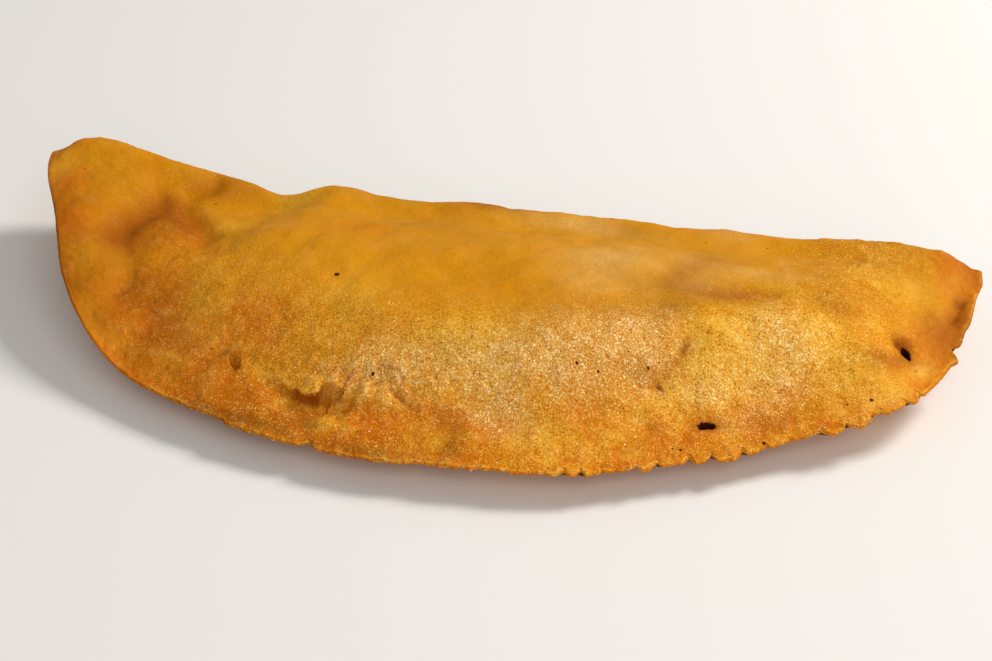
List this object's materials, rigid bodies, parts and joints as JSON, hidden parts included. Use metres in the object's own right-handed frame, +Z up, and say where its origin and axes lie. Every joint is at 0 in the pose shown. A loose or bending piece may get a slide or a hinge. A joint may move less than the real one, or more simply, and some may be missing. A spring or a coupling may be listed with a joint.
{
  "type": "bean empanada",
  "caption": "Fried half-moon turnover of corn dough with a folded back edge, a pressed and torn round seam, a curled tip and small vents.",
  "frame": {"origin": "under the middle of the bounding box, on the surface that the empanada lies on", "axes": "+X along the fold to the torn, blunt end; -Y to the middle of the pressed round seam; +Z up"},
  "size_m": [0.1786, 0.081, 0.0192],
  "materials": {
    "fried_crust": "dry, finely grained fried crust"
  },
  "bodies": {
    "root": {"bean_empanada": "fried_crust"}
  },
  "joints": []
}
